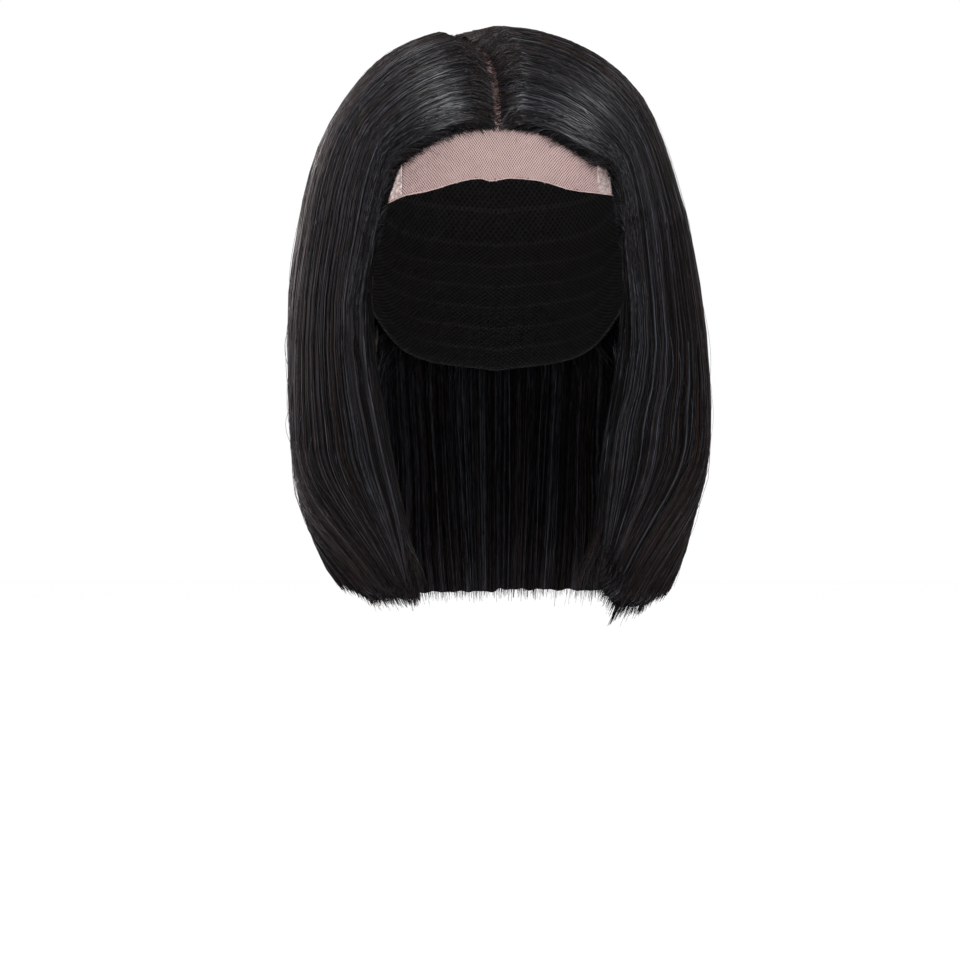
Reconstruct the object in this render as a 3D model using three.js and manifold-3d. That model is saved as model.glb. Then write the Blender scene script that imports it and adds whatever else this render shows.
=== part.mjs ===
// A short straight bob wig with a lace closure, in the form that it has when worn.
// Millimetres, +Z up, the face looks along -Y and the wig's left side is at -X.
// The origin is the top of the head, inside the cap.
import * as THREE from "three";
import { mergeVertices } from "three/addons/utils/BufferGeometryUtils.js";
import Module from "manifold-3d";

const wasm = await Module();
wasm.setup();

// The head that the cap is made for: half-axes from its centre, which lies straight below the origin.
const HEAD = { halfWidth: 77, front: 94, back: 99, height: 95 };
const HEAD_CENTRE_Z = -HEAD.height;

// The level outline that the wig leaves room for below the head's centre, down past the nape to the neck.
const HEAD_BELOW = [
  { drop: 0, halfWidth: 77, front: 94, back: 99 },
  { drop: 35, halfWidth: 74, front: 84, back: 96 },
  { drop: 80, halfWidth: 63, front: 62, back: 83 },
  { drop: 120, halfWidth: 52, front: 46, back: 68 },
];

// The stretch-net cap, and its lower edge round the head: temple, ear tab, over the ear, nape.
const CAP_WALL = 1.2;
const CAP_EDGE = [
  { azimuth: 0, polar: 60, drop: 0 },
  { azimuth: 30, polar: 68, drop: 0 },
  { azimuth: 40, polar: 80, drop: 0 },
  { azimuth: 54, polar: 90, drop: 20 },
  { azimuth: 66, polar: 90, drop: 25 },
  { azimuth: 80, polar: 90, drop: 11 },
  { azimuth: 98, polar: 90, drop: 9 },
  { azimuth: 116, polar: 90, drop: 30 },
  { azimuth: 142, polar: 90, drop: 60 },
  { azimuth: 180, polar: 90, drop: 70 },
];
const CAP_TURNS = 40;
const CAP_RINGS = 12;

// The lace closure: a panel let into the cap, whose trimmed front edge lies on the forehead.
const LACE_WALL = 1.0;
const LACE_LEFT_X = -54.5;
const LACE_RIGHT_X = 57;
const LACE_BACK_Y = 10;
const LACE_TRIM = [
  { x: -54.5, z: -87.3 },
  { x: -46, z: -84.2 },
  { x: -33, z: -82.3 },
  { x: -20.5, z: -78.9 },
  { x: -9, z: -77 },
  { x: -3.5, z: -78.3 },
  { x: 6.3, z: -77 },
  { x: 21, z: -78.2 },
  { x: 36, z: -81.8 },
  { x: 57, z: -82.8 },
];
const LACE_STEPS = { across: 24, along: 10 };
const SEAM_GAP = 0.3;

// The closure's two side hems: lace folded double, a corner of which shows below the hair.
const HEM_WALL = 0.9;
const HEM_STEPS = { across: 3, along: 4 };
const HEMS = [
  { name: "lace_hem_left", inner: -46.5, outer: -52.4, topInner: -75.4, topOuter: -85.6 },
  { name: "lace_hem_right", inner: 49, outer: 54.2, topInner: -76.4, topOuter: -81 },
];

// The hair's outer form: distance from the head's axis at each station, to the left, right, front and back.
// A station is polar degrees from the crown down to level, then millimetres of drop. wall is the hair's
// depth.
const HAIR_SECTIONS = [
  { polar: 0, drop: 0, left: 104, right: 104, front: 104, back: 104, wall: 9 },
  { polar: 33, drop: 0, left: 105.8, right: 102.6, front: 103, back: 106, wall: 14 },
  { polar: 48, drop: 0, left: 102.8, right: 100.4, front: 101.5, back: 109, wall: 19 },
  { polar: 63, drop: 0, left: 101, right: 96, front: 98.6, back: 113, wall: 23 },
  { polar: 78, drop: 0, left: 100.2, right: 95.2, front: 90, back: 117, wall: 26 },
  { polar: 90, drop: 0, left: 102, right: 98.6, front: 82.5, back: 119, wall: 26 },
  { polar: 90, drop: 30, left: 106.3, right: 104, front: 67, back: 120, wall: 22 },
  { polar: 90, drop: 75, left: 107, right: 108.5, front: 58, back: 118, wall: 18 },
  { polar: 90, drop: 120, left: 104.3, right: 107.6, front: 54, back: 113, wall: 17 },
  { polar: 90, drop: 155, left: 96.5, right: 99.5, front: 51, back: 106, wall: 16 },
  { polar: 90, drop: 195, left: 77, right: 88.5, front: 48.5, back: 95, wall: 14 },
];
const HAIR_CLEARANCE = 1.15;
const THINNEST_HAIR = 1;

// The front edge of the hair: from the parting along the hairline, over the temple and down beside the face.
const FRONT_EDGE = [
  { polar: 64.4, drop: 0, left: 0, right: 0 },
  { polar: 65.2, drop: 0, left: 12, right: 12 },
  { polar: 68, drop: 0, left: 23, right: 22.5 },
  { polar: 74.4, drop: 0, left: 32.6, right: 34.4 },
  { polar: 78, drop: 0, left: 35.4, right: 38.8 },
  { polar: 85.3, drop: 0, left: 38.4, right: 42.2 },
  { polar: 90, drop: 9.5, left: 43.8, right: 46.4 },
  { polar: 90, drop: 40, left: 53.5, right: 53.5 },
  { polar: 90, drop: 75, left: 55.5, right: 55.5 },
  { polar: 90, drop: 115, left: 52.5, right: 51.5 },
  { polar: 90, drop: 195, left: 47, right: 51.5 },
];

// The line on which the hair of the closure meets the hair of the wefts: from the crown down beside the ear.
const CROWN_LINE = { rootAzimuth: 82, tipAzimuth: 103 };
const CLOSURE_SHARE = 0.993;
const FRONT_TAPER = { share: 0.3, wall: 0.45 };

// The parting, in degrees on the map: a shallow valley that bends to the wig's left towards the crown.
const PARTING = { gap: 0.6, depth: 3, width: 3.2, drift: -14, reach: 25, fadeFrom: -7, fadeTo: 10 };

// The hem is cut so that the outermost hair ends a little higher than the hair inside.
const HEM_CUT = { rise: 11, sharpness: 4 };

// From this share of its length the hair runs along the head's round form, and no longer straight on the map.
const ROUND_SHARE = 0.5;

const CLOSURE_STEPS = { across: 9, along: 30 };
const WEFT_STEPS = { across: 26, along: 30 };

const DEGREES = Math.PI / 180;
const LEVEL = 90;
const STRAIGHT_BACK = 180;
const MERGE_DISTANCE = 1e-3;

const hairBlack = new THREE.MeshStandardMaterial({ color: 0x1b1817, roughness: 0.45, metalness: 0 });
const netBlack = new THREE.MeshStandardMaterial({ color: 0x17151a, roughness: 0.85, metalness: 0 });
const laceTan = new THREE.MeshStandardMaterial({ color: 0xbf9d97, roughness: 0.8, metalness: 0 });
const hemTan = new THREE.MeshStandardMaterial({ color: 0xc9aca4, roughness: 0.8, metalness: 0 });

const stationOf = (row) => row.polar + row.drop;

// A smooth function through one column of a table, by the rows' keys.
function column(rows, keyOf, name) {
  const keys = rows.map(keyOf);
  const values = rows.map((row) => row[name]);
  const slopes = keys.map((_, i) => {
    const before = Math.max(i - 1, 0);
    const after = Math.min(i + 1, keys.length - 1);
    return (values[after] - values[before]) / (keys[after] - keys[before]);
  });
  return (at) => {
    const key = THREE.MathUtils.clamp(at, keys[0], keys[keys.length - 1]);
    let i = 0;
    while (i < keys.length - 2 && key > keys[i + 1]) i++;
    const span = keys[i + 1] - keys[i];
    const t = (key - keys[i]) / span;
    const rise = values[i + 1] - values[i];
    const bend = (1 - t) * (slopes[i] * span - rise) + t * (rise - slopes[i + 1] * span);
    return values[i] + t * rise + t * (1 - t) * bend;
  };
}

function columns(rows, keyOf, names) {
  return Object.fromEntries(names.map((name) => [name, column(rows, keyOf, name)]));
}

const headBelow = columns(HEAD_BELOW, (row) => row.drop, ["halfWidth", "front", "back"]);
const hair = columns(HAIR_SECTIONS, stationOf, ["left", "right", "front", "back", "wall"]);
const capEdge = column(
  CAP_EDGE.map((row) => ({ ...row, station: stationOf(row) })),
  (row) => row.azimuth,
  "station",
);
const laceTrim = column(LACE_TRIM, (row) => row.x, "z");

// The front edge as one curve of azimuth (x) against station (y), for each side.
const frontEdge = {};
for (const side of ["left", "right"]) {
  const points = FRONT_EDGE.map((row) => new THREE.Vector2(row[side], stationOf(row)));
  frontEdge[side] = new THREE.SplineCurve(points);
}
const HAIRLINE_STATION = stationOf(FRONT_EDGE[0]);
const TIP = FRONT_EDGE[FRONT_EDGE.length - 1];

// The ray from the head's axis at an azimuth and a station: up over the dome, level below it.
function axisRay(azimuth, station) {
  const polar = Math.min(station, LEVEL) * DEGREES;
  const turn = azimuth * DEGREES;
  return {
    drop: Math.max(station - LEVEL, 0),
    across: Math.sin(polar) * Math.sin(turn),
    ahead: Math.sin(polar) * Math.cos(turn),
    up: station < LEVEL ? Math.cos(polar) : 0,
  };
}

function onRay(ray, distance, target) {
  const z = HEAD_CENTRE_Z - ray.drop + ray.up * distance;
  return target.set(ray.across * distance, -ray.ahead * distance, z);
}

// Distance from the axis to the head's own surface.
function headReach(ray) {
  const length = ray.ahead >= 0 ? headBelow.front(ray.drop) : headBelow.back(ray.drop);
  return 1 / Math.hypot(ray.across / headBelow.halfWidth(ray.drop), ray.ahead / length, ray.up / HEAD.height);
}

// Distance from the axis to the hair's outer form.
function hairReach(azimuth, station) {
  const turn = azimuth * DEGREES;
  const sideways = turn < 0 ? hair.left(station) : hair.right(station);
  const lengthways = Math.cos(turn) >= 0 ? hair.front(station) : hair.back(station);
  return 1 / Math.hypot(Math.sin(turn) / sideways, Math.cos(turn) / lengthways);
}

// A place on a flat map of the head: the azimuth is its direction and the station its radius, so that x runs
// across the parting and y runs ahead of the crown.
function mapPlace(azimuth, station) {
  return new THREE.Vector2(Math.sin(azimuth * DEGREES), Math.cos(azimuth * DEGREES)).multiplyScalar(station);
}

// A point in the hair: depth 0 is next to the cap or the neck, and depth 1 is the outer form.
function hairPoint(place, depth, wallShare, target) {
  const valley =
    PARTING.depth *
    Math.exp(-((place.x / PARTING.width) ** 2)) *
    THREE.MathUtils.smoothstep(place.y, PARTING.fadeFrom, PARTING.fadeTo);
  const drift =
    PARTING.drift *
    Math.exp(-((place.x / PARTING.reach) ** 2)) *
    Math.max(0, 1 - place.length() / HAIRLINE_STATION) ** 2;
  const azimuth = Math.atan2(place.x + drift, place.y) / DEGREES;
  const station = Math.hypot(place.x + drift, place.y);
  const ray = axisRay(azimuth, station);
  const outer = hairReach(azimuth, station);
  const overCap = headReach(ray) + CAP_WALL + HAIR_CLEARANCE;
  const inner = Math.max(overCap, outer - hair.wall(station) * wallShare);
  const surface = Math.max(outer - valley, inner + THINNEST_HAIR);
  return onRay(ray, THREE.MathUtils.lerp(inner, surface, depth), target);
}

// Azimuth (x) and station (y) at a share of the hair's length, on the front edge and on the crown line.
// On the map the crown line has gone as far across as the edge has, and both end at the same station.
function guideLines(side, share) {
  const edge = frontEdge[side].getPointAt(share);
  const across = mapPlace(edge.x, edge.y).x;
  const lengthen = THREE.MathUtils.lerp(1, 1 / Math.sin(TIP[side] * DEGREES), share);
  const azimuth = THREE.MathUtils.lerp(CROWN_LINE.rootAzimuth, CROWN_LINE.tipAzimuth, share);
  return { edge, crown: new THREE.Vector2(azimuth, across * lengthen) };
}

// The place on a line of hair between the front edge (back 0) and the crown line (back 1).
function hairLine(side, share, back) {
  const { edge, crown } = guideLines(side, share);
  const place = mapPlace(edge.x, edge.y).lerp(mapPlace(crown.x, crown.y), back);
  const round = THREE.MathUtils.smoothstep(share, 0, ROUND_SHARE);
  const station = THREE.MathUtils.lerp(edge.y, crown.y, back);
  return place.setLength(THREE.MathUtils.lerp(place.length(), station, round));
}

// The hair ends higher towards its outer side, over the last of its length.
function cutHem(place, share, depth) {
  return place.setLength(place.length() - HEM_CUT.rise * share ** HEM_CUT.sharpness * depth);
}

// A closed sheet: a box with a grid on its two large faces, each of whose corners is put in place.
function sheet(name, material, steps, place) {
  const geometry = new THREE.BoxGeometry(1, 1, 1, steps.across, steps.along, 1);
  const positions = geometry.attributes.position;
  const target = new THREE.Vector3();
  for (let i = 0; i < positions.count; i++) {
    place(positions.getX(i) + 0.5, positions.getY(i) + 0.5, positions.getZ(i) + 0.5, target);
    positions.setXYZ(i, target.x, target.y, target.z);
  }
  return named(name, geometry, material);
}

function named(name, geometry, material) {
  const mesh = new THREE.Mesh(geometry, material);
  mesh.name = name;
  return mesh;
}

function toSolid(geometry) {
  const bare = new THREE.BufferGeometry();
  bare.setAttribute("position", geometry.getAttribute("position"));
  bare.setIndex(geometry.index);
  const merged = mergeVertices(bare, MERGE_DISTANCE);
  const mesh = new wasm.Mesh({
    numProp: 3,
    vertProperties: new Float32Array(merged.attributes.position.array),
    triVerts: new Uint32Array(merged.index.array),
  });
  return new wasm.Manifold(mesh);
}

function toGeometry(solid) {
  const mesh = solid.getMesh();
  const geometry = new THREE.BufferGeometry();
  geometry.setAttribute("position", new THREE.BufferAttribute(mesh.vertProperties, 3));
  geometry.setIndex(new THREE.BufferAttribute(mesh.triVerts, 1));
  return geometry;
}

// The cap: a turned profile whose radius stands for the share of the way to the edge and whose height stands
// for the depth in the wall, put on the head, with the closure's window cut out of its front and top.
function wigCap() {
  const profile = [];
  for (let i = 0; i <= CAP_RINGS; i++) profile.push(new THREE.Vector2(i / CAP_RINGS, 0));
  for (let i = CAP_RINGS; i >= 0; i--) profile.push(new THREE.Vector2(i / CAP_RINGS, 1));
  const turned = new THREE.LatheGeometry(profile, CAP_TURNS);
  const positions = turned.attributes.position;
  const target = new THREE.Vector3();
  for (let i = 0; i < positions.count; i++) {
    const share = Math.hypot(positions.getX(i), positions.getZ(i));
    const azimuth = Math.atan2(positions.getX(i), positions.getZ(i)) / DEGREES;
    const ray = axisRay(azimuth, share * capEdge(Math.abs(azimuth)));
    onRay(ray, headReach(ray) + CAP_WALL * positions.getY(i), target);
    positions.setXYZ(i, target.x, target.y, target.z);
  }
  const width = LACE_RIGHT_X - LACE_LEFT_X + 2 * (SEAM_GAP + LACE_WALL);
  const length = LACE_BACK_Y + SEAM_GAP + 2 * HEAD.front;
  const opening = new THREE.BoxGeometry(width, length, 2 * HEAD.height);
  opening.translate((LACE_LEFT_X + LACE_RIGHT_X) / 2, LACE_BACK_Y + SEAM_GAP - length / 2, 0);
  return named("wig_cap", toGeometry(toSolid(turned).subtract(toSolid(opening))), netBlack);
}

// A point on the closure, by x and the share of the way from its front edge at frontZ to its back edge.
function lacePoint(x, share, frontZ, lift, target) {
  const narrow = Math.sqrt(1 - (x / HEAD.halfWidth) ** 2);
  const frontTurn = Math.asin((frontZ - HEAD_CENTRE_Z) / (HEAD.height * narrow));
  const backTurn = Math.acos(-LACE_BACK_Y / (HEAD.back * narrow));
  const turn = THREE.MathUtils.lerp(frontTurn, backTurn, share);
  const length = Math.cos(turn) >= 0 ? HEAD.front : HEAD.back;
  const ahead = length * narrow * Math.cos(turn);
  const up = HEAD.height * narrow * Math.sin(turn);
  return onRay({ drop: 0, across: x, ahead, up }, 1 + lift / Math.hypot(x, ahead, up), target);
}

function laceClosure() {
  return sheet("lace_closure", laceTan, LACE_STEPS, (a, b, depth, target) => {
    const x = THREE.MathUtils.lerp(LACE_LEFT_X, LACE_RIGHT_X, a);
    lacePoint(x, b, laceTrim(x), LACE_WALL * depth, target);
  });
}

// A hem lies on the closure, from its trimmed edge up to the hair.
function laceHem({ name, inner, outer, topInner, topOuter }) {
  const [low, high] = inner < outer ? [inner, outer] : [outer, inner];
  return sheet(name, hemTan, HEM_STEPS, (a, b, depth, target) => {
    const x = THREE.MathUtils.lerp(low, high, a);
    const top = THREE.MathUtils.mapLinear(x, inner, outer, topInner, topOuter);
    const z = THREE.MathUtils.lerp(laceTrim(x), top, b);
    const lift = LACE_WALL + SEAM_GAP + HEM_WALL * depth;
    lacePoint(x, 0, z, lift, target);
  });
}

// The hair tied into the closure on one side of the parting, from the front edge back to the crown.
function closureHair(name, side) {
  const sign = side === "left" ? -1 : 1;
  return sheet(name, hairBlack, CLOSURE_STEPS, (a, b, depth, target) => {
    const back = CLOSURE_SHARE * (sign < 0 ? 1 - a : a);
    const place = cutHem(hairLine(side, 1 - b, back), 1 - b, depth);
    place.x *= sign;
    const taper = THREE.MathUtils.smoothstep(back, 0, FRONT_TAPER.share);
    hairPoint(place, depth, THREE.MathUtils.lerp(FRONT_TAPER.wall, 1, taper), target);
    target.x += (sign * PARTING.gap) / 2;
  });
}

// The hair of the sewn wefts: it falls from the crown round the back, from one side to the other.
function weftHair() {
  return sheet("weft_hair", hairBlack, WEFT_STEPS, (a, b, depth, target) => {
    const [side, sign] = a < 0.5 ? ["right", 1] : ["left", -1];
    const { crown } = guideLines(side, 1 - b);
    const azimuth = sign * THREE.MathUtils.lerp(STRAIGHT_BACK, crown.x, Math.abs(1 - 2 * a));
    hairPoint(cutHem(mapPlace(azimuth, crown.y), 1 - b, depth), depth, 1, target);
  });
}

const wig = new THREE.Group();
wig.name = "bob_wig";
wig.add(wigCap(), laceClosure(), ...HEMS.map(laceHem));
wig.add(closureHair("closure_hair_left", "left"), closureHair("closure_hair_right", "right"), weftHair());

export default wig;
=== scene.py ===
import math

import bmesh
import bpy
import numpy as np
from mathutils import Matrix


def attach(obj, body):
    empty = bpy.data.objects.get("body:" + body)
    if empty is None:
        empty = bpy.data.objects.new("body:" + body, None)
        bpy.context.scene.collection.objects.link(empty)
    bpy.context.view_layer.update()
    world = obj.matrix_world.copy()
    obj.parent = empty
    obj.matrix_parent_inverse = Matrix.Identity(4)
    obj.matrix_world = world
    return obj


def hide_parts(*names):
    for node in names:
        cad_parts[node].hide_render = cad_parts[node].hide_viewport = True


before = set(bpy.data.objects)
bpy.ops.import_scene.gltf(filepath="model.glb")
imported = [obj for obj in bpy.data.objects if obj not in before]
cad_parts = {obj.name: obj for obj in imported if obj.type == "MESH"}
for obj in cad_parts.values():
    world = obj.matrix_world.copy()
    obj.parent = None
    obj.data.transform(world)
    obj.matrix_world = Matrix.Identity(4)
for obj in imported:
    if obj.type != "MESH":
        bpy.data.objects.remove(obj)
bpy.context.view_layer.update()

# The stretch-net cap: a black knitted dome with ear tabs, an arch over each ear and a low nape.
# The wefts are machine-sewn to it in rows, which stand up as ridges, and its edge is turned in and
# sewn down as a thicker band. The closure's window is cut out of its front and top.
MM = 0.001
LEVEL = 90  # degrees from straight up to level
HEAD_HEIGHT = 0.095
HEAD_HALF_WIDTH = 0.077
HEAD_FRONT = 0.094
HEAD_BACK = 0.099
CAP_WALL = 0.0012
CAP_TURNS = 112
CAP_RINGS = 56
RINGS_PER_WEFT = 4
EDGE_RINGS = 2  # how many rings the sewn edge takes up
THIN_NET = 0.45  # wall of the bare net, as a share of the ridges' wall
WINDOW = {"left": -0.0558, "right": 0.0583, "back": 0.0103}
CAP_BLACK = (0.010, 0.009, 0.010, 1)
CAP_GREY = (0.045, 0.041, 0.042, 1)
NET_CELLS = {"around": 210, "down": 74}
NET_FINENESS = 3  # the higher, the finer its threads
NET_TONE = 0.45  # how grey its threads are
NET_ROUGHNESS = (0.95, 0.62)  # in its holes and on its threads
NET_RELIEF = (0.0006, 0.9)  # depth and strength
STITCHES_PER_CELL = 1.3
STITCHED = (0.10, 0.03)  # how near a weft's row its stitches begin and are full


def smooth_through(keys, values):
    """A smooth function through some points."""
    places = np.arange(len(keys))
    before = np.maximum(places - 1, 0)
    after = np.minimum(places + 1, len(keys) - 1)
    slopes = (values[after] - values[before]) / (keys[after] - keys[before])

    def at(key):
        key = np.clip(key, keys[0], keys[-1])
        i = np.clip(np.searchsorted(keys, key) - 1, 0, len(keys) - 2)
        span = keys[i + 1] - keys[i]
        t = (key - keys[i]) / span
        rise = values[i + 1] - values[i]
        bend = (1 - t) * (slopes[i] * span - rise) + t * (rise - slopes[i + 1] * span)
        return values[i] + t * rise + t * (1 - t) * bend

    return at


def curves(names, *rows):
    """The columns of a small table, as smooth functions of its first column."""
    keys, *columns = np.array(rows, float).T
    return {name: smooth_through(keys, column) for name, column in zip(names.split()[1:], columns)}


def axis_ray(azimuth, station):
    """The ray from the head's axis: up over the dome, and level below it. A station is in degrees from
    the crown down to level, and then in millimetres of drop."""
    polar = np.radians(np.minimum(station, LEVEL))
    turn = np.radians(azimuth)
    drop = np.maximum(station - LEVEL, 0) * MM
    up = np.where(station < LEVEL, np.cos(polar), 0)
    return drop, np.sin(polar) * np.sin(turn), np.sin(polar) * np.cos(turn), up


def on_ray(ray, distance):
    drop, across, ahead, up = ray
    return np.stack([across * distance, -ahead * distance, up * distance - drop - HEAD_HEIGHT], axis=-1)


head_form = curves(
    "drop half_width front back",
    (0, HEAD_HALF_WIDTH, HEAD_FRONT, HEAD_BACK),
    (0.035, 0.074, 0.084, 0.096),
    (0.08, 0.063, 0.062, 0.083),
    (0.12, 0.052, 0.046, 0.068),
)
cap_edge = curves(
    "azimuth station",
    (0, 60),
    (30, 68),
    (40, 80),
    (54, 110),
    (66, 115),
    (80, 101),
    (98, 99),
    (116, 120),
    (142, 150),
    (180, 160),
)


def head_reach(ray):
    """Distance from the axis to the head's surface."""
    drop, across, ahead, up = ray
    length = np.where(ahead >= 0, head_form["front"](drop), head_form["back"](drop))
    level = (across / head_form["half_width"](drop)) ** 2 + (ahead / length) ** 2
    return 1 / np.sqrt(level + (up / HEAD_HEIGHT) ** 2)


def blank_sheet(across, along, map_width=1.0):
    """A flat sheet with corners from 0 to 1 and its own map, to be put in place."""
    sheet = bmesh.new()
    bmesh.ops.create_grid(sheet, x_segments=across, y_segments=along, size=0.5)
    bmesh.ops.translate(sheet, verts=sheet.verts, vec=(0.5, 0.5, 0))
    own_map = sheet.loops.layers.uv.new("OFBake")
    for face in sheet.faces:
        for loop in face.loops:
            x, y, _ = loop.vert.co
            loop[own_map].uv = (x * map_width, y)
    return sheet


def flat_places(verts):
    return np.array([vert.co[:2] for vert in verts]).T


def put(verts, places):
    for vert, place in zip(verts, places):
        vert.co = place


def mesh_of(name, sheet):
    mesh = bpy.data.meshes.new(name)
    sheet.to_mesh(mesh)
    sheet.free()
    return mesh


def set_up(name, data):
    """A new object in the scene."""
    thing = bpy.data.objects.new(name, data)
    bpy.context.scene.collection.objects.link(thing)
    return thing


def made_piece(mesh, material):
    """A finished mesh as a piece of the wig, of the same name."""
    mesh.shade_smooth()
    mesh.materials.append(material)
    piece = set_up(mesh.name, mesh)
    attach(piece, "root")
    return piece


def plug(node, sockets):
    """Gives each of a node's sockets its value, or links it to another node's output."""
    for key, value in sockets.items():
        if isinstance(value, bpy.types.NodeSocket):
            node.id_data.links.new(value, node.inputs[key])
        else:
            node.inputs[key].default_value = value


def add_node(tree, kind, sockets, **settings):
    node = tree.nodes.new(kind)
    for name, value in settings.items():
        setattr(node, name, value)
    plug(node, sockets)
    return node


def maths(operation, *values):
    tree = values[0].id_data
    return add_node(tree, "ShaderNodeMath", dict(enumerate(values)), operation=operation).outputs[0]


def times(first, second):
    return maths("MULTIPLY", first, second)


def zigzag(value):
    """Up to a half and down to nothing, over each whole number."""
    return maths("PINGPONG", value, 0.5)


def new_group(name, inputs, outputs):
    """A shader node group with named sockets: its tree, what it is given and the node that puts out."""
    group = bpy.data.node_groups.new(name, "ShaderNodeTree")
    for in_out, sockets in (("INPUT", inputs), ("OUTPUT", outputs)):
        for socket in sockets:
            kind = "NodeSocketVector" if socket == "Place" else "NodeSocketFloat"
            group.interface.new_socket(socket, in_out=in_out, socket_type=kind)
    given = add_node(group, "NodeGroupInput", {}).outputs
    return group, given, add_node(group, "NodeGroupOutput", {})


def placed(tree, group, sockets):
    """A node group's outputs, placed in a material with its own values."""
    return add_node(tree, "ShaderNodeGroup", sockets, node_tree=group).outputs


def new_finish(name):
    """A material, with its own map's two directions and its shader."""
    finish = bpy.data.materials.new(name)
    finish.use_nodes = True
    tree = finish.node_tree
    own_map = add_node(tree, "ShaderNodeUVMap", {}, uv_map="OFBake")
    ways = add_node(tree, "ShaderNodeSeparateXYZ", {0: own_map.outputs[0]})
    return finish, ways.outputs["X"], ways.outputs["Y"], tree.nodes["Principled BSDF"]


def blended(share, first, second):
    """A colour between two, as an output."""
    mix = add_node(share.id_data, "ShaderNodeMix", {0: share, 6: first, 7: second}, data_type="RGBA")
    return mix.outputs[2]


def ranged(value, low, high, out_low, out_high):
    sockets = {"Value": value, "From Min": low, "From Max": high, "To Min": out_low, "To Max": out_high}
    return add_node(value.id_data, "ShaderNodeMapRange", sockets).outputs[0]


def bumped(height, distance, strength):
    sockets = {"Height": height, "Distance": distance, "Strength": strength}
    return add_node(height.id_data, "ShaderNodeBump", sockets).outputs[0]


crossed_threads, given, result = new_group("crossed_threads", ("Across", "Along", "Fineness"), ("Height",))
threads = []
for operation in ("ADD", "SUBTRACT"):
    across_thread = maths(operation, given["Across"], given["Along"])
    threads.append(zigzag(across_thread))
thread_ridge = times(maths("MAXIMUM", *threads), 2)
thread_height = maths("POWER", thread_ridge, given["Fineness"])
plug(result, {"Height": thread_height})


def netting(across, along, fineness):
    sockets = {"Across": across, "Along": along, "Fineness": fineness}
    return placed(across.id_data, crossed_threads, sockets)["Height"]


cap_finish, around, down, shader = new_finish("stretch_net")
around_cells = times(around, NET_CELLS["around"])
net_height = netting(around_cells, times(down, NET_CELLS["down"]), NET_FINENESS)
weft_rows = zigzag(times(down, CAP_RINGS / RINGS_PER_WEFT))
stitches = zigzag(times(around_cells, STITCHES_PER_CELL))
stitched = times(ranged(weft_rows, *STITCHED, 0, 1), stitches)
cap_tone = maths("ADD", times(net_height, NET_TONE), stitched)
cap_relief = maths("ADD", net_height, stitched)
cap_surface = {
    "Base Color": blended(cap_tone, CAP_BLACK, CAP_GREY),
    "Roughness": ranged(net_height, 0, 1, *NET_ROUGHNESS),
    "Normal": bumped(cap_relief, *NET_RELIEF),
}
plug(shader, cap_surface)

cap_sheet = blank_sheet(CAP_TURNS, CAP_RINGS)
wall_layer = cap_sheet.verts.layers.deform.verify()
for vert in cap_sheet.verts:
    ring = round(vert.co.y * CAP_RINGS)
    ridge = ring % RINGS_PER_WEFT == 0 or ring >= CAP_RINGS - EDGE_RINGS
    vert[wall_layer][0] = 1.0 if ridge else THIN_NET
turn_share, edge_share = flat_places(cap_sheet.verts)
cap_azimuth = 360 * (turn_share - 0.5)
cap_ray = axis_ray(cap_azimuth, edge_share * cap_edge["station"](np.abs(cap_azimuth)))
put(cap_sheet.verts, on_ray(cap_ray, head_reach(cap_ray) + CAP_WALL / 2))
bmesh.ops.remove_doubles(cap_sheet, verts=cap_sheet.verts, dist=1e-6)
for plane_point, plane_normal in (
    ((WINDOW["left"], 0, 0), (1, 0, 0)),
    ((WINDOW["right"], 0, 0), (1, 0, 0)),
    ((0, WINDOW["back"], 0), (0, 1, 0)),
):
    whole_cap = cap_sheet.verts[:] + cap_sheet.edges[:] + cap_sheet.faces[:]
    bmesh.ops.bisect_plane(cap_sheet, geom=whole_cap, dist=1e-5, plane_co=plane_point, plane_no=plane_normal)
cut_out = []
for face in cap_sheet.faces:
    centre = face.calc_center_median()
    if WINDOW["left"] < centre.x < WINDOW["right"] and centre.y < WINDOW["back"]:
        cut_out.append(face)
bmesh.ops.delete(cap_sheet, geom=cut_out, context="FACES")
bmesh.ops.recalc_face_normals(cap_sheet, faces=cap_sheet.faces)
cap = made_piece(mesh_of("cap_net", cap_sheet), cap_finish)
cap.vertex_groups.new(name="wall")
cap_wall = cap.modifiers.new("wall", "SOLIDIFY")
cap_wall.thickness = CAP_WALL
cap_wall.offset = 0
cap_wall.vertex_group = "wall"
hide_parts("wig_cap")

# The lace closure's bare front: a strip of tan hexagonal net on the forehead, trimmed by hand to a
# wavy edge. Each thread runs front to back, twisted in turn with the thread on its left and its right.
LACE_WALL = 0.001
LACE_LEFT = -0.0545
LACE_RIGHT = 0.057
LACE_BACK = 0.010
STRIP_TURN = 0.535  # radians above level, where the strip's middle ends under the hair
STRIP_BEND = 25  # radians for each square metre, by which its ends lie lower
HEX_WIDTH = 0.00118
STRIP_ROWS = 34
TUBE_SIDES = 3
THREAD_WIDTH = 0.00044
THREAD_WIDTHS = (0.85, 1.15)  # shares of it, from place to place
THREAD_FLATNESS = 0.7
THREAD_SHEEN = 0.25
TWISTED = 0.62  # the share of a row in which a thread lies beside its neighbour
TWISTED_GAP = 0.8  # how far from it, in widths
TWIST_RELIEF = (0.0001, 0.5)
RAVEL = 0.004  # radians by which threads stand out at the trimmed edge
WAVER = 0.00012  # how far they waver to the side
CUT_EDGE = {"points": 150, "uneven": 0.0008, "width": 0.00045}
FINISH_COLUMNS = 128
COLUMN_MARGIN = 0.1
LACE_TAN = (0.430, 0.282, 0.266, 1)
LACE_PALE = (0.655, 0.468, 0.446, 1)
LACE_CLOUDS = {"grain": 120, "low": 0.20, "high": 0.50}
MOST_NOISE = (0.3, 0.7)  # most of a noise lies between these
THREAD_ROUGHNESS = (0.55, 0.8)
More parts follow.
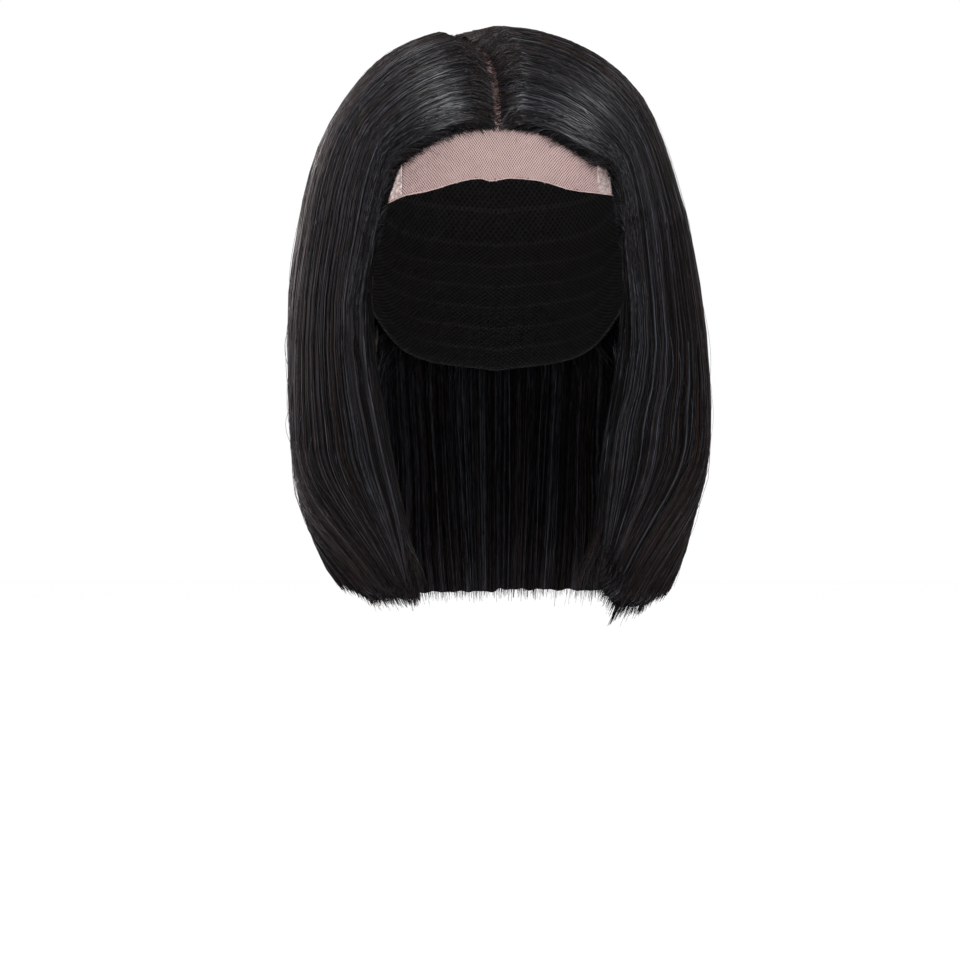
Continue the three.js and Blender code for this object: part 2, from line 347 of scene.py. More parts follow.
OWN_TONE = 0.3  # how much the threads differ
TWIST_GRAIN = 5200
lace_trim = curves(
    "x z",
    (-0.0545, -0.0873),
    (-0.046, -0.0842),
    (-0.033, -0.0823),
    (-0.0205, -0.0789),
    (-0.009, -0.077),
    (-0.0035, -0.0783),
    (0.0063, -0.077),
    (0.021, -0.0782),
    (0.036, -0.0818),
    (0.057, -0.0828),
)


def between(first, second, share):
    return first + (second - first) * share


def narrowing(x):
    return np.sqrt(1 - (x / HEAD_HALF_WIDTH) ** 2)


def lace_turn(x, z):
    """The turn above level at which the closure passes a height."""
    return np.arcsin((z + HEAD_HEIGHT) / (HEAD_HEIGHT * narrowing(x)))


def lace_back_turn(x):
    return np.arccos(-LACE_BACK / (HEAD_BACK * narrowing(x)))


def on_lace(x, turn, lift):
    """A point above the head's surface, on the closure's line from front to back."""
    length = np.where(np.cos(turn) >= 0, HEAD_FRONT, HEAD_BACK)
    ahead = length * narrowing(x) * np.cos(turn)
    up = HEAD_HEIGHT * narrowing(x) * np.sin(turn)
    grow = 1 + lift / np.sqrt(x**2 + ahead**2 + up**2)
    return np.stack([x * grow, -ahead * grow, up * grow - HEAD_HEIGHT], axis=-1)


def unit(vectors):
    return vectors / np.maximum(np.linalg.norm(vectors, axis=-1, keepdims=True), 1e-12)


def wall_corners(near, far):
    """Four corners for each wall face of some tubes, from arrays of (tube, point, side)."""
    return np.stack([near[:, :-1], near[:, 1:], far[:, 1:], far[:, :-1]], axis=-1)


def end_corners(first, last):
    return np.stack([first[:, 0], last[:, -1]], axis=1)


def tube_piece(name, batches, finish, flatness=1.0):
    """One piece of many closed tubes. A batch has its paths (tube, point, xyz), their widths (tube, point)
    and the column of the finish that each tube takes, so tubes of one column look alike."""
    corners, loops, sizes, maps = [], [], [], []
    first = 0
    turns = 2 * np.pi * np.arange(TUBE_SIDES) / TUBE_SIDES + np.pi / 2
    column_edges = COLUMN_MARGIN + (1 - 2 * COLUMN_MARGIN) * np.arange(TUBE_SIDES + 1) / TUBE_SIDES
    for paths, widths, columns in batches:
        tubes, points, _ = paths.shape
        along = unit(np.gradient(paths, axis=1))
        axis = np.zeros_like(paths)
        axis[..., 2] = np.minimum(paths[..., 2], -HEAD_HEIGHT)
        side = unit(np.cross(along, paths - axis))
        out = np.cross(side, along)
        ring = np.cos(turns)[:, None] * side[..., None, :]
        ring = ring + flatness * np.sin(turns)[:, None] * out[..., None, :]
        corners.append((paths[..., None, :] + widths[..., None, None] / 2 * ring).reshape(-1, 3))
        index = first + np.arange(tubes * points * TUBE_SIDES).reshape(tubes, points, TUBE_SIDES)
        first += index.size
        walls = wall_corners(index, np.roll(index, -1, axis=2))
        ends = end_corners(index, index[..., ::-1])
        loops += [walls.ravel(), ends.ravel()]
        sizes += [np.full(walls.size // 4, 4), np.full(ends.size // TUBE_SIDES, TUBE_SIDES)]
        run = np.broadcast_to(np.linspace(0.01, 0.99, points)[None, :, None], index.shape)
        edge = (columns[:, None, None] + column_edges) / FINISH_COLUMNS
        edge = np.broadcast_to(edge, (tubes, points, TUBE_SIDES + 1))
        left, right = edge[..., :-1], edge[..., 1:]
        wall_map = (wall_corners(left, right), wall_corners(run, run))
        end_map = (end_corners(left, left), end_corners(run, run))
        for u, v in (wall_map, end_map):
            maps.append(np.stack([u.ravel(), v.ravel()], axis=-1))
    corners = np.concatenate(corners)
    loops = np.concatenate(loops)
    sizes = np.concatenate(sizes)
    mesh = bpy.data.meshes.new(name)
    mesh.vertices.add(len(corners))
    mesh.vertices.foreach_set("co", corners.astype(np.float32).ravel())
    mesh.loops.add(len(loops))
    mesh.loops.foreach_set("vertex_index", loops.astype(np.int32))
    mesh.polygons.add(len(sizes))
    mesh.polygons.foreach_set("loop_start", np.concatenate([[0], np.cumsum(sizes)[:-1]]).astype(np.int32))
    mesh.update(calc_edges=True)
    own_map = mesh.uv_layers.new(name="OFBake")
    own_map.data.foreach_set("uv", np.concatenate(maps).astype(np.float32).ravel())
    return made_piece(mesh, finish)


def net_threads(rng, left, right, low_turn, high_turn, rows, lift, hex_width, thread_width):
    """The threads of a hexagonal net between two lines across the closure, as a batch of tubes."""
    pitch = hex_width / 2
    count = int((right - left) / pitch)
    thread = np.arange(count)[:, None]
    row = np.arange(rows)[None, :]
    swing = np.where((thread + row) % 2 == 0, 1, -1)
    x = left + (thread + 0.5) * pitch + swing * (pitch - thread_width * TWISTED_GAP) / 2
    x = np.repeat(np.clip(x, left, right), 2, axis=1)
    share = (row[..., None] + np.array([0.0, TWISTED])) / (rows - (1 - TWISTED))
    share = np.broadcast_to(share.reshape(1, -1), x.shape)
    turn = between(low_turn(x), high_turn(x), share)
    ravel = rng.normal(0, RAVEL, (count, 1)) * (1 - share) ** 8
    turn = turn + ravel + rng.normal(0, 0.0004, x.shape)
    x = x + WAVER * np.sin(turn * 95 + 2 * np.sin(x * 240)) + rng.normal(0, 0.00002, x.shape)
    widths = thread_width * rng.uniform(*THREAD_WIDTHS, x.shape)
    return on_lace(x, turn, lift), widths, rng.integers(0, FINISH_COLUMNS, count)


def single_thread(x, turn, lift, width):
    return on_lace(x, turn, lift), np.full(x.shape, width), np.array([FINISH_COLUMNS - 1])


def noise(place, scale, detail, dimensions="3D"):
    sockets = {"Vector": place, "Scale": scale, "Detail": detail}
    return add_node(place.id_data, "ShaderNodeTexNoise", sockets, noise_dimensions=dimensions).outputs[0]


def own_value(column):
    """A random value that goes by the column of the finish."""
    kind = "ShaderNodeTexWhiteNoise"
    return add_node(column.id_data, kind, {"W": column}, noise_dimensions="1D").outputs[0]


cloudy_thread, given, result = new_group(
    "cloudy_thread", ("Place", "Own Column", "Grain", "Low", "High"), ("Tone", "Roughness", "Twist")
)
cloudy = noise(given["Place"], given["Grain"], 3)
clouds = ranged(cloudy, *MOST_NOISE, given["Low"], given["High"])
own_share = times(own_value(given["Own Column"]), OWN_TONE)
thread_outputs = {
    "Tone": maths("ADD", clouds, own_share),
    "Roughness": ranged(cloudy, *MOST_NOISE, *THREAD_ROUGHNESS),
    "Twist": noise(given["Place"], TWIST_GRAIN, 1),
}
plug(result, thread_outputs)


def lace_thread(name, dark, pale, grain, low, high):
    """Fine twisted thread, cloudy and a little different from thread to thread."""
    finish, across, _, shader = new_finish(name)
    tree = shader.id_data
    place = add_node(tree, "ShaderNodeTexCoord", {}).outputs["Object"]
    sockets = {"Place": place, "Own Column": across, "Grain": grain, "Low": low, "High": high}
    thread = placed(tree, cloudy_thread, sockets)
    thread_surface = {
        "Base Color": blended(thread["Tone"], dark, pale),
        "Roughness": thread["Roughness"],
        "Normal": bumped(thread["Twist"], *TWIST_RELIEF),
        "Sheen Weight": THREAD_SHEEN,
    }
    plug(shader, thread_surface)
    return finish


lace_finish = lace_thread("tan_lace_thread", LACE_TAN, LACE_PALE, **LACE_CLOUDS)
strip_rng = np.random.default_rng(11)


def trim_turn(x):
    return lace_turn(x, lace_trim["z"](x))


def strip_back(x):
    return STRIP_TURN - STRIP_BEND * x**2


strip_size = (LACE_LEFT, LACE_RIGHT, trim_turn, strip_back, STRIP_ROWS)
strip_threads = net_threads(strip_rng, *strip_size, LACE_WALL / 2, HEX_WIDTH, THREAD_WIDTH)
edge_x = np.linspace(LACE_LEFT, LACE_RIGHT, CUT_EDGE["points"])[None]
edge_turn = trim_turn(edge_x) + strip_rng.normal(0, CUT_EDGE["uneven"], edge_x.shape)
cut_edge = single_thread(edge_x, edge_turn, LACE_WALL / 2, CUT_EDGE["width"])
lace_front = tube_piece("lace_front", [strip_threads, cut_edge], lace_finish, THREAD_FLATNESS)

# The rest of the closure: the same tan net, which carries the knots of the hair and shows in the parting
# and from inside. It is finished plainly, as one sheet with the net's pattern.
PANEL_OVERLAP = 0.02  # radians by which the panel's front passes under the strip
PANEL_STEPS = (48, 48)
PANEL_WALL = 0.0005
PANEL_CELLS = {"across": 94, "along": 55}
PANEL_FINENESS = 1
# Painted shade: the panel is darker than the bare lace, partly for the knots and partly as the hair's shade.
PANEL_THREAD = (0.215, 0.128, 0.120, 1)
PANEL_PAINTED_SHADE = (0.085, 0.054, 0.050, 1)
PANEL_ROUGHNESS = (0.9, 0.6)
PANEL_RELIEF = (0.0004, 0.8)
panel_finish, across, along, shader = new_finish("tan_lace_panel")
cells_across = times(across, PANEL_CELLS["across"])
cells_along = times(along, PANEL_CELLS["along"])
panel_height = netting(cells_across, cells_along, PANEL_FINENESS)
panel_surface = {
    # Painted shade in the net's holes, between the threads.
    "Base Color": blended(panel_height, PANEL_PAINTED_SHADE, PANEL_THREAD),
    "Roughness": ranged(panel_height, 0, 1, *PANEL_ROUGHNESS),
    "Normal": bumped(panel_height, *PANEL_RELIEF),
}
plug(shader, panel_surface)

panel_sheet = blank_sheet(*PANEL_STEPS)
side_share, back_share = flat_places(panel_sheet.verts)
panel_x = between(LACE_LEFT, LACE_RIGHT, side_share)
panel_turn = between(strip_back(panel_x) - PANEL_OVERLAP, lace_back_turn(panel_x), back_share)
put(panel_sheet.verts, on_lace(panel_x, panel_turn, 0))
bmesh.ops.recalc_face_normals(panel_sheet, faces=panel_sheet.faces)
lace_panel = made_piece(mesh_of("lace_panel", panel_sheet), panel_finish)
panel_wall = lace_panel.modifiers.new("wall", "SOLIDIFY")
panel_wall.thickness = PANEL_WALL
panel_wall.offset = 1
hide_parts("lace_closure")

# The closure's folded side hems: the same net turned double and stitched, so it is paler and closer. Only the
# front corner of each shows, beside the temple.
HEM_HEX = 0.00112
HEM_THREAD = 0.00037
HEM_TAN = (0.34, 0.255, 0.240)
HEM_PALE = (0.90, 0.760, 0.720)
HEM_CLOUDS = {"grain": 620, "low": -0.45, "high": 1.05}
HEM_ROWS = 14
HEM_LAYERS = ((0.0014, 0.0), (0.0019, 0.00028))  # lift over the head, and shift across
HEM_FOLD = {"points": 12, "uneven": 0.00008, "width": 0.0006}


def table(names, *rows):
    """A small table, as one array for each named column."""
    return dict(zip(names.split(), np.array(rows, float).T))


# painted_light_level dims the right hem's threads below the left's: painted shade, as the right side lies in
# shade.
hems = table(
    "inner outer top_inner top_outer paleness cut_width cut_length cut_area",
    (-0.0465, -0.0524, -0.069, -0.0845, 1, 0.0155, 0.016, 0.000136),
    (0.0485, 0.0544, -0.069, -0.0745, 0.75, 0.016, 0.014, 0.000178),
)
hem_rng = np.random.default_rng(12)
for side, *hem_row in zip(("left", "right"), *hems.values()):
    inner, outer, top_inner, top_outer, painted_light_level, cut_width, cut_length, cut_area = hem_row
    # Painted shade: the right hem's tones are dimmed.
    hem_tones = [(*(painted_light_level * np.array(colour)), 1) for colour in (HEM_TAN, HEM_PALE)]
    hem_finish = lace_thread(f"lace_hem_thread_{side}", *hem_tones, **HEM_CLOUDS)

    def hem_top(x):
        return lace_turn(x, between(top_inner, top_outer, (x - inner) / (outer - inner)))

    hem_batches = []
    for lift, shift in HEM_LAYERS:
        hem_size = (min(inner, outer) + shift, max(inner, outer), trim_turn, hem_top, HEM_ROWS)
        hem_batches.append(net_threads(hem_rng, *hem_size, lift, HEM_HEX, HEM_THREAD))
    for fold_x in (inner, outer):
        fold_share = np.linspace(0, 1, HEM_FOLD["points"])[None]
        x = np.full(fold_share.shape, fold_x)
        fold_turn = between(trim_turn(x), hem_top(x), fold_share)
        x = x + hem_rng.normal(0, HEM_FOLD["uneven"], x.shape)
        hem_batches.append(single_thread(x, fold_turn, HEM_LAYERS[1][0], HEM_FOLD["width"]))
    hem = tube_piece(f"lace_hem_fold_{side}", hem_batches, hem_finish, THREAD_FLATNESS)
    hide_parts(f"lace_hem_{side}")

# The hair's body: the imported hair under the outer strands, which fills the bob and keeps it from being
# seen through. It is laid between the front edge and the crown line on each side, and round the back.
PARTING_GAP = 0.0006
PARTING_DEPTH = 0.003
PARTING_WIDTH = 3.2
PARTING_DRIFT = -14
PARTING_REACH = 25
PARTING_FADE = (-7, 10)
HAIR_CLEARANCE = 0.00115
THINNEST_HAIR = 0.001
CROWN_AZIMUTH = {"root": 82, "tip": 103}
FRONT_TAPER = {"share": 0.3, "wall": 0.45}
HEM_CUT = {"rise": 11, "sharpness": 4}
TRIM_SHARPNESS = 10  # the power of the share by which a trim shows only near the hem
ROUND_SHARE = 0.5
SWEEP = {"turn": 50, "eases": 50, "from": 0.68, "to": 1.05}  # degrees, and shares of the hair's length
BODY_DEPTHS = (0.80, 0.14)
BODY_SHARES = (0.022, 0.985)
BODY_TOP = (0.4, 0.06)  # the depth of its outer side at the roots, and the share over which it comes up
BODY_HEM = (0.45, 0.92)  # the depth at the hem, and the share from which it turns in
BODY_FRONT_HEM = (0.87, 0.3)  # where it ends at the front edge, and how far back that shows
BODY_FRONT = (0.07, 0.02)  # how far behind the front edge it starts, at the hairline and below
BODY_BACK = 0.993
TEMPLES = {"left": (0.035, 0.142, 0.022), "right": (0.085, 0.167, 0.020)}  # set-back, share and reach
TEMPLE_BREADTH = {"body": 1.7, "strands": 2.2, "swept": 1.8}  # how much wider their set-back is
SET_BACK_FADE = -7  # how fast it fades behind the hairline
HEM_CORNER = {"left": (0.02, 0.25), "right": (0.10, 0.45)}  # how much shorter the front is, and its reach
HEM_OUTSIDE = {"left": 0.0, "right": 0.022}  # how much longer the hair at the outline is
BODY_STEPS = {"closure": (72, 44), "weft": (150, 44)}
BODY_RELIEF = 0.05
SIDES = {"left": -1, "right": 1}
HAIR_BLACK = (0.0026, 0.0026, 0.0032, 1)
# A lighter, bluish tone that a few strands take: partly their own tone and partly painted glints.
HAIR_GLINT_GREY = (0.0820, 0.0850, 0.1080, 1)
HAIR_BROWN = (0.0360, 0.0190, 0.0135, 1)
BROWN_FROM = 0.86  # columns beyond this share are browned hairs, and more at the outline as painted light
BROWNED = 0.75  # how brown those are
STREAKS = {"across": 420, "along": 16}
STREAK_RELIEF = (0.0005, 0.5)
GLINT_GREY_POWER = 5  # the higher, the fewer columns are lighter: their own tone, and partly painted glints
OWN_GLOSS = 0.4
GLOSS_POWER = 2.4
HAIR_RANGES = {  # each takes the first two values to the last two
    "streaks": (0.35, 0.65, 0.3, 1.0),
    "brown tip": (0.55, 1.0, 0.0, 0.12),
    "streaks' gloss": (*MOST_NOISE, 0, 0.6),
    "gloss": (0.14, 0.80, 0, 1),
    "roughness": (0, 1, 0.58, 0.26),
    "rough root": (0.02, 0.12, 0.22, 0),
    "root's coat": (0.0, 0.10, 0.2, 1),
}
hair_form = curves(
    "station left right front back wall",
    (0, 0.104, 0.104, 0.104, 0.104, 0.009),
    (33, 0.1058, 0.1026, 0.103, 0.106, 0.014),
    (48, 0.1028, 0.1004, 0.1015, 0.109, 0.019),
    (63, 0.101, 0.096, 0.0986, 0.113, 0.023),
    (78, 0.1002, 0.0952, 0.09, 0.117, 0.026),
    (90, 0.102, 0.0986, 0.0825, 0.119, 0.026),
    (120, 0.1063, 0.104, 0.067, 0.12, 0.022),
    (165, 0.107, 0.1085, 0.058, 0.118, 0.018),
    (210, 0.1043, 0.1076, 0.054, 0.113, 0.017),
    (245, 0.0965, 0.0995, 0.051, 0.106, 0.016),
    (285, 0.077, 0.0885, 0.0485, 0.095, 0.014),
)
front_edge = table(
    "station left right",
    (62.6, 0, 0),
    (63.6, 12, 12),
    (67.3, 23, 22.5),
    (74.4, 32.6, 34.4),
    (78, 35.4, 38.8),
    (85.3, 38.4, 42.2),
    (99.5, 43.8, 46.4),
    (130, 53.5, 53.5),
    (165, 55.5, 55.5),
    (205, 52.5, 51.5),
    (285, 47, 51.5),
)
HAIRLINE = front_edge["station"][0]


def evenly_along(azimuths, stations):
    """Azimuth and station as functions of the share of a curve's length."""
    keys = np.arange(len(azimuths), dtype=float)
    fine = np.linspace(0, keys[-1], 800)
    curve = np.stack([smooth_through(keys, azimuths)(fine), smooth_through(keys, stations)(fine)])
    length = np.concatenate([[0], np.cumsum(np.hypot(*np.diff(curve, axis=1)))])
    length /= length[-1]
    return lambda share: (np.interp(share, length, curve[0]), np.interp(share, length, curve[1]))


edge_at = {side: evenly_along(front_edge[side], front_edge["station"]) for side in SIDES}


def smoothstep(value, low, high):
    t = np.clip((value - low) / (high - low), 0, 1)
    return t * t * (3 - 2 * t)


def map_place(azimuth, station):
    """A place on a flat map of the head, with x across the parting and y ahead of the crown."""
    turn = np.radians(azimuth)
    return np.stack([station * np.sin(turn), station * np.cos(turn)], axis=-1)


def set_length(places, length):
    return unit(places) * length[..., None]


def guide_lines(side, share):
    """Azimuth and station on the front edge and on the crown line, at a share of the hair's length."""
    edge_azimuth, edge_station = edge_at[side](share)
    across = edge_station * np.sin(np.radians(edge_azimuth))
    tip = math.radians(front_edge[side][-1])
    crown_azimuth = between(CROWN_AZIMUTH["root"], CROWN_AZIMUTH["tip"], share)
    return edge_azimuth, edge_station, crown_azimuth, across * between(1, 1 / math.sin(tip), share)


def swept_in(side, places, share):
    """Towards the hem the hair sweeps round to the front, except at its front edge and in mid back."""
    azimuth = np.degrees(np.arctan2(places[..., 0], places[..., 1]))
    behind_edge = np.maximum(azimuth - front_edge[side][-1], 0)
    loose = (1 - np.exp(-behind_edge / SWEEP["eases"])) * (1 - smoothstep(azimuth, 105, 170))
    swept = azimuth - SWEEP["turn"] * loose * smoothstep(share, SWEEP["from"], SWEEP["to"])
    return map_place(swept, np.linalg.norm(places, axis=-1))


def closure_place(side, share, back):
    """A place on a line of the closure's hair: back 0 is the front edge, and 1 the crown line."""
    edge_azimuth, edge_station, crown_azimuth, crown_station = guide_lines(side, share)
    on_edge = map_place(edge_azimuth, edge_station)
    places = between(on_edge, map_place(crown_azimuth, crown_station), back[..., None])
    station = between(edge_station, crown_station, back)
    length = np.linalg.norm(places, axis=-1)
    places = set_length(places, between(length, station, smoothstep(share, 0, ROUND_SHARE)))
    return swept_in(side, places, share)


def weft_place(side, share, back):
    """A place on a line of the wefts' hair: back 0 is the crown line, and 1 the middle of the back."""
    _, _, crown_azimuth, crown_station = guide_lines(side, share)
    return swept_in(side, map_place(between(crown_azimuth, 180, back), crown_station), share)


def in_hair(places, depth, sign, wall_share=1.0, rooted=0.0, proud=0.0):
    """Points in the hair: depth 0 is next to the cap, depth 1 the outer form, and rooted 1 is on the net.
    Places are on the right side's map, and sign is -1 for the left side."""
    x, y = sign * places[..., 0], places[..., 1]
    valley = PARTING_DEPTH * np.exp(-((x / PARTING_WIDTH) ** 2)) * smoothstep(y, *PARTING_FADE)
    fade = np.maximum(0, 1 - np.hypot(x, y) / HAIRLINE) ** 2
    x = x + PARTING_DRIFT * np.exp(-((x / PARTING_REACH) ** 2)) * fade
    turn = np.arctan2(x, y)
    station = np.hypot(x, y)
    ray = axis_ray(np.degrees(turn), station)
    sideways = np.where(turn < 0, hair_form["left"](station), hair_form["right"](station))
    lengthways = np.where(np.cos(turn) >= 0, hair_form["front"](station), hair_form["back"](station))
    outer = 1 / np.hypot(np.sin(turn) / sideways, np.cos(turn) / lengthways)
    head = head_reach(ray)
    inner = np.maximum(head + CAP_WALL + HAIR_CLEARANCE, outer - hair_form["wall"](station) * wall_share)
    surface = np.maximum(outer - valley, inner + THINNEST_HAIR)
    distance = between(inner, surface, depth) + proud
    points = on_ray(ray, between(distance, head + LACE_WALL, rooted))
    points[..., 0] += sign * PARTING_GAP / 2
    return points


def cut_hem(places, share, depth):
    """The outermost hair ends a little higher than the hair inside."""
    length = np.linalg.norm(places, axis=-1)
    return set_length(places, length - HEM_CUT["rise"] * share ** HEM_CUT["sharpness"] * depth)


def trimmed(side, behind, share):
    """Shares of the hair's length after the trim: shorter at the front edge, and longer at the right outline.
    behind is how far a line is behind the front edge: 1 is the crown line, and 2 the middle of the back."""
    shorter, reach = HEM_CORNER[side]
    trim = HEM_OUTSIDE[side] * smoothstep(behind, 0.5, 0.9) * (1 - smoothstep(behind, 1.1, 1.6))
    return share + (trim - shorter * np.exp(-((behind / reach) ** 2))) * share**TRIM_SHARPNESS


def temple_set_back(side, share, breadth=1.0):
    """How far back the hairline goes at the temple, where the closure's corner is bare."""
    set_back, place, reach = TEMPLES[side]
    return set_back * np.exp(-(((share - place) / (reach * breadth)) ** 2))


def front_wall(back):
    """The hair's depth thins out towards the front edge."""
    return between(FRONT_TAPER["wall"], 1, smoothstep(back, 0, FRONT_TAPER["share"]))


hair_finish, across, along, shader = new_finish("natural_black_hair")
own_tone = own_value(maths("FLOOR", times(across, FINISH_COLUMNS)))
fine_ways = {"X": times(across, STREAKS["across"]), "Y": times(along, STREAKS["along"])}
streaks = noise(add_node(across.id_data, "ShaderNodeCombineXYZ", fine_ways).outputs[0], 1, 2, "2D")
streaked = ranged(streaks, *HAIR_RANGES["streaks"])
# Painted highlights: a few strands, and streaks along them, are lighter as glints, besides their own tone.
glint_grey_share = times(maths("POWER", own_tone, GLINT_GREY_POWER), streaked)
black = blended(glint_grey_share, HAIR_BLACK, HAIR_GLINT_GREY)
browned = times(maths("GREATER_THAN", across, BROWN_FROM), BROWNED)
brown_tip = ranged(along, *HAIR_RANGES["brown tip"])
brown_share = times(maths("ADD", browned, brown_tip), streaked)
streak_gloss = ranged(streaks, *HAIR_RANGES["streaks' gloss"])
gloss = maths("ADD", times(own_tone, OWN_GLOSS), streak_gloss)
glossy = maths("POWER", ranged(gloss, *HAIR_RANGES["gloss"]), GLOSS_POWER)
rough_strand = ranged(glossy, *HAIR_RANGES["roughness"])
rough_root = ranged(along, *HAIR_RANGES["rough root"])
hair_surface = {
    "Base Color": blended(brown_share, black, HAIR_BROWN),
    "Roughness": maths("ADD", rough_strand, rough_root),
    "Coat Weight": times(glossy, ranged(along, *HAIR_RANGES["root's coat"])),
    "Normal": bumped(streaks, *STREAK_RELIEF),
    "IOR": 1.50,
    "Specular IOR Level": 0.17,
    "Coat Roughness": 0.30,
    "Coat IOR": 1.70,
}
plug(shader, hair_surface)


def uneven_hem(across):
    """The share of the length at which the body ends, which wavers from lock to lock."""
    return BODY_SHARES[1] - 0.0012 * (2 + np.sin(across * 131) + np.sin(across * 217 + 1))


def front_hem(across):
    shortest, reach = BODY_FRONT_HEM
    return between(shortest, uneven_hem(across), smoothstep(across, 0, reach))


def body_of_hair(name, steps, point_at, hem_at):
    """A closed body between two depths, with shallow locks on its outer side."""
    sheet = blank_sheet(*steps, BROWN_FROM)
    outer_verts = sheet.verts[:]
    copied = bmesh.ops.duplicate(sheet, geom=sheet.verts[:] + sheet.edges[:] + sheet.faces[:])["geom"]
    inner_verts = [item for item in copied if isinstance(item, bmesh.types.BMVert)]
    across, along = flat_places(outer_verts)
    relief = BODY_RELIEF * np.sin(across * 170 + 3 * np.sin(across * 31)) * smoothstep(along, 0, 0.3)
    share = between(BODY_SHARES[0], hem_at(across), along)
    outer_depth = between(BODY_TOP[0], BODY_DEPTHS[0] + relief, smoothstep(along, 0, BODY_TOP[1]))
    outer_depth = between(outer_depth, BODY_HEM[0], smoothstep(along, BODY_HEM[1], 1.0))
    put(outer_verts, point_at(across, share, outer_depth))
    across, along = flat_places(inner_verts)
    share = between(BODY_SHARES[0], hem_at(across), along)
    put(inner_verts, point_at(across, share, np.full_like(share, BODY_DEPTHS[1])))
    bmesh.ops.reverse_faces(sheet, faces=[item for item in copied if isinstance(item, bmesh.types.BMFace)])
    bmesh.ops.bridge_loops(sheet, edges=[edge for edge in sheet.edges if edge.is_boundary])
    if sheet.calc_volume(signed=True) < 0:
        bmesh.ops.reverse_faces(sheet, faces=sheet.faces)
    return made_piece(mesh_of(name, sheet), hair_finish)


for side, sign in SIDES.items():

    def closure_body(across, share, depth):
        front = between(*BODY_FRONT, smoothstep(share, 0.2, 0.45))
        front = front + temple_set_back(side, share, TEMPLE_BREADTH["body"])
        back = between(front, BODY_BACK, across)
        share = np.minimum(trimmed(side, back, share), 1)
        places = cut_hem(closure_place(side, share, back), share, depth)
        return in_hair(places, depth, sign, front_wall(back))

    body = body_of_hair(f"closure_hair_body_{side}", BODY_STEPS["closure"], closure_body, front_hem)
    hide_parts(f"closure_hair_{side}")


def weft_body(across, share, depth):
    points = np.zeros((len(across), 3))
    for side, sign in SIDES.items():
        mine = across < 0.5 if side == "right" else across >= 0.5
        back = 1 - np.abs(1 - 2 * across[mine])
        length = np.minimum(trimmed(side, 1 + back, share[mine]), 1)
        places = cut_hem(weft_place(side, length, back), length, depth[mine])
        points[mine] = in_hair(places, depth[mine], sign)
        points[mine, 0] -= sign * PARTING_GAP / 2
    return points


weft_hair_body = body_of_hair("weft_hair_body", BODY_STEPS["weft"], weft_body, uneven_hem)
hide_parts("weft_hair")

# The closure's strands: straight hairs knotted into the lace beside the parting and further out under it.
# They leave the parting sideways, arch over the crown and fall beside the face to a blunt hem that turns in.
HAIR_LENGTH = 0.26
TURN_IN = 0.45  # how steeply tips that hang past the form turn in
TIP_DEPTH = 0.85  # the outer strands turn in at the hem to this share of their depth
STRAND_WIDTH = 0.00036
STRAND_WIDTHS = (0.65, 1.3)  # shares of it, from strand to strand
TOP_WIDTH = {"closure": 1.25, "weft": 1.5}  # how much wider the long outer strands are
TIP_WIDTH = 0.45
BLUNT_HEM = 0.988  # where most strands are cut, as a share of the hair's length
HEM_SPREAD = {"top": 0.004, "part": 0.005}
SHORT_TIPS = {"chance": 0.06, "by": 0.10}
LOCKS = 150
LOCK_LENGTHS = 0.004  # how unevenly the locks end, as a share of the hair's length
LOCK_LIKENESS = 0.3  # the share of a lock's strands that have the lock's own tone
LEAN = 0.012  # how far strands lean aside
SWAY = 0.004  # how far locks sway
RIDGE = 0.02  # how far locks stand out, as a share of the hair's depth
TOP_POINTS = {"closure": 31, "weft": 26}
TOP_DEPTH = 0.06  # how far the outer strands lie under the form
CLOSER = {"bend": 2.6, "hem": 2.2}  # how much closer the points are over the crown and at the hem
UNEVEN_STEPS = 0.45
INNER_POINTS = 8
HAIRLINE_SET_BACK = 0.022
RISE = {"top": 0.016, "weft": 0.05, "fill": 0.05}  # the share in which a strand comes up from the net
RISES = (0.6, 2.4)  # shares of that, from strand to strand
CROWN_START = {"from": 0.78, "to": 0.92, "depth": 0.80}  # near the crown the roots stay hidden in the hair
BROWN = {"top": 0.06, "tips": 0.12, "edge": 0.08}  # the share of browned strands
OUTLINE_PAINTED_LIGHT_BROWN = {"left": 0.60, "right": 0.45}  # painted light: more browned strands at the outline
CLOSURE_STRANDS = {"top": 900, "tips": 560, "edge": 200}
TIPS = {"roots": (0.82, 0.90), "points": 5, "depths": (0.1, 0.85), "sunk": True}
EDGE = {"roots": (0.16, 0.34), "points": INNER_POINTS, "depths": (0.05, 1.0), "backs": (-0.012, 0.045)}
ROWS = {"closure": (closure_place, 0), "weft": (weft_place, 1)}  # each with how far behind the front it is


def seeded(first, side):
    return np.random.default_rng(first if side == "left" else first + 1)


def strand_widths(rng, count, points, width):
    """A strand keeps its width to near the end and then draws to a fine tip."""
    taper = between(1, TIP_WIDTH, smoothstep(np.linspace(0, 1, points), 0.86, 1.0))
    return width * rng.uniform(*STRAND_WIDTHS, (count, 1)) * taper[None]


def strand_columns(rng, brown_chance, lock):
    """Most strands take a black column of the finish, often their lock's, and some a browned one."""
    first_brown = math.ceil(BROWN_FROM * FINISH_COLUMNS)
    own = rng.integers(0, first_brown, len(lock))
    alike = rng.random(len(lock)) < LOCK_LIKENESS
    black = np.where(alike, rng.integers(0, first_brown, LOCKS)[lock], own)
    brown = rng.integers(first_brown, FINISH_COLUMNS, len(lock))
    return np.where(rng.random(len(lock)) < brown_chance, brown, black)


def lock_of(rng, back):
    return np.clip((back * LOCKS + rng.normal(0, 0.4, back.shape)).astype(int), 0, LOCKS - 1)


def evenly_spread(rng, count, low=0.0, high=1.0):
    return between(low, high, (np.arange(count) + rng.uniform(0, 1, count)) / count)


